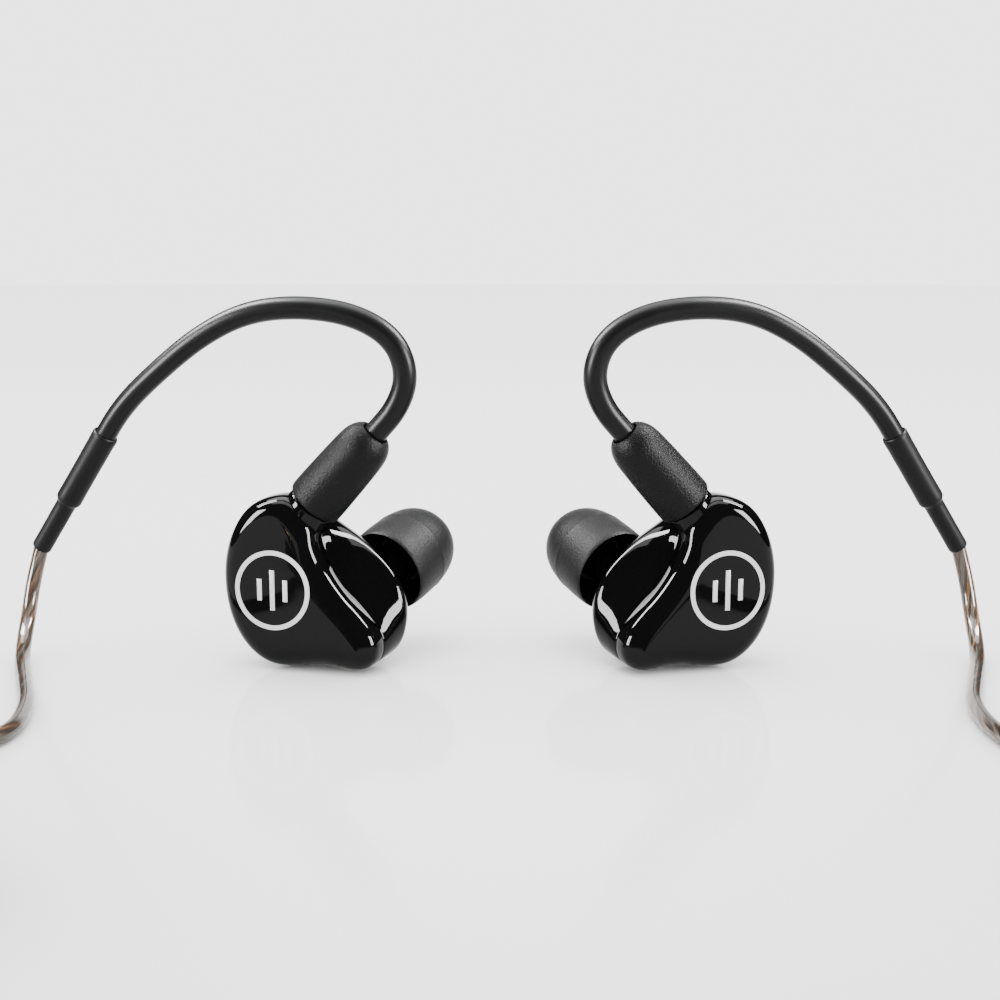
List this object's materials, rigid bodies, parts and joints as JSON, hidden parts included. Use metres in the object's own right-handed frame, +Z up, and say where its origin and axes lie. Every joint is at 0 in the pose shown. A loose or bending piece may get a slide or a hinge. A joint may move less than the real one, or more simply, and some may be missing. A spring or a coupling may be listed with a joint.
{
  "type": "in-ear monitors",
  "caption": "Pair of over-ear in-ear monitors: teardrop gloss shells with silicone tips, swivelling detachable connectors, formed ear hooks and a coiled cable with a right-angled plug.",
  "frame": {"origin": "on the surface the shells stand on, midway between the two earpieces", "axes": "+X from the right earpiece to the left earpiece, +Y from the faceplates towards the ear tips, +Z up"},
  "size_m": [0.1523, 0.1283, 0.0513],
  "materials": {
    "gloss_black_shell": "high-gloss piano black",
    "inlay_silver": "silver-grey print",
    "boot_black": "fine matte grain",
    "hook_black": "satin soft plastic",
    "sleeve_black": "satin shrink tube",
    "tip_silicone": "matte silicone",
    "cable_clear": "smoky clear jacket over copper and silver strands",
    "steel": "spring steel",
    "contact_gold": "gold plated",
    "insulator_white": "white insulator",
    "damper_foam": "acoustic foam",
    "driver_grey": "driver frame",
    "magnet_grey": "sintered magnet",
    "membrane": "thin film",
    "copper": "enamelled copper",
    "splitter_black": "satin moulded plastic",
    "tie_fabric": "hook and loop strap"
  },
  "bodies": {
    "cable_set": {"right_boot": "boot_black", "right_plug_barrel": "contact_gold", "right_plug_insulator": "insulator_white", "right_plug_pin": "contact_gold", "right_ear_hook": "hook_black", "right_memory_wire": "steel", "right_hook_core": "copper", "right_hook_sleeve": "sleeve_black", "right_cable": "cable_clear", "left_boot": "boot_black", "left_plug_barrel": "contact_gold", "left_plug_insulator": "insulator_white", "left_plug_pin": "contact_gold", "left_ear_hook": "hook_black", "left_memory_wire": "steel", "left_hook_core": "copper", "left_hook_sleeve": "sleeve_black", "left_cable": "cable_clear", "trunk_cable": "cable_clear", "trunk_coil": "cable_clear", "cable_tie": "tie_fabric", "cable_split": "splitter_black", "plug_head": "boot_black", "plug_strain_relief": "boot_black", "plug_sleeve_contact": "contact_gold", "plug_ring_contact": "contact_gold", "plug_insulators": "insulator_white", "plug_tip_contact": "contact_gold"},
    "right_ring": {"right_snap_ring": "steel"},
    "right_shell": {"right_faceplate": "gloss_black_shell", "right_face_inlay": "inlay_silver", "right_inner_shell": "gloss_black_shell", "right_nozzle_grille": "steel", "right_nozzle_damper": "damper_foam", "right_driver_frame": "driver_grey", "right_driver_magnet": "magnet_grey", "right_driver_voice_coil": "copper", "right_driver_diaphragm": "membrane", "right_socket_sleeve": "contact_gold", "right_socket_insulator": "insulator_white", "right_socket_contact": "contact_gold", "right_lead_wires": "copper"},
    "right_tip": {"right_ear_tip": "tip_silicone"},
    "left_ring": {"left_snap_ring": "steel"},
    "left_shell": {"left_faceplate": "gloss_black_shell", "left_face_inlay": "inlay_silver", "left_inner_shell": "gloss_black_shell", "left_nozzle_grille": "steel", "left_nozzle_damper": "damper_foam", "left_driver_frame": "driver_grey", "left_driver_magnet": "magnet_grey", "left_driver_voice_coil": "copper", "left_driver_diaphragm": "membrane", "left_socket_sleeve": "contact_gold", "left_socket_insulator": "insulator_white", "left_socket_contact": "contact_gold", "left_lead_wires": "copper"},
    "left_tip": {"left_ear_tip": "tip_silicone"},
    "slider": {"chin_slider": "splitter_black"}
  },
  "joints": [
    {"name": "right_swivel", "type": "hinge", "parent": "cable_set", "child": "right_ring", "pos_m": [-0.02559, -0.0063, 0.023], "axis": [0.6461, -0.1975, 0.7373], "continuous": true},
    {"name": "right_unplug", "type": "slide", "parent": "right_ring", "child": "right_shell", "axis": [-0.6461, 0.1975, -0.7373], "range_m": [0, 0.0046]},
    {"name": "right_tip_pull", "type": "slide", "parent": "right_shell", "child": "right_tip", "axis": [0.5186, 0.7937, 0.3179], "range_m": [0, 0.0055]},
    {"name": "left_swivel", "type": "hinge", "parent": "cable_set", "child": "left_ring", "pos_m": [0.02559, -0.0063, 0.023], "axis": [-0.6461, -0.1975, 0.7373], "continuous": true},
    {"name": "left_unplug", "type": "slide", "parent": "left_ring", "child": "left_shell", "axis": [0.6461, 0.1975, -0.7373], "range_m": [0, 0.0046]},
    {"name": "left_tip_pull", "type": "slide", "parent": "left_shell", "child": "left_tip", "axis": [-0.5186, 0.7937, 0.3179], "range_m": [0, 0.0055]},
    {"name": "chin_slide", "type": "slide", "parent": "cable_set", "child": "slider", "axis": [0, -1, 0], "range_m": [0, 0.005]}
  ]
}
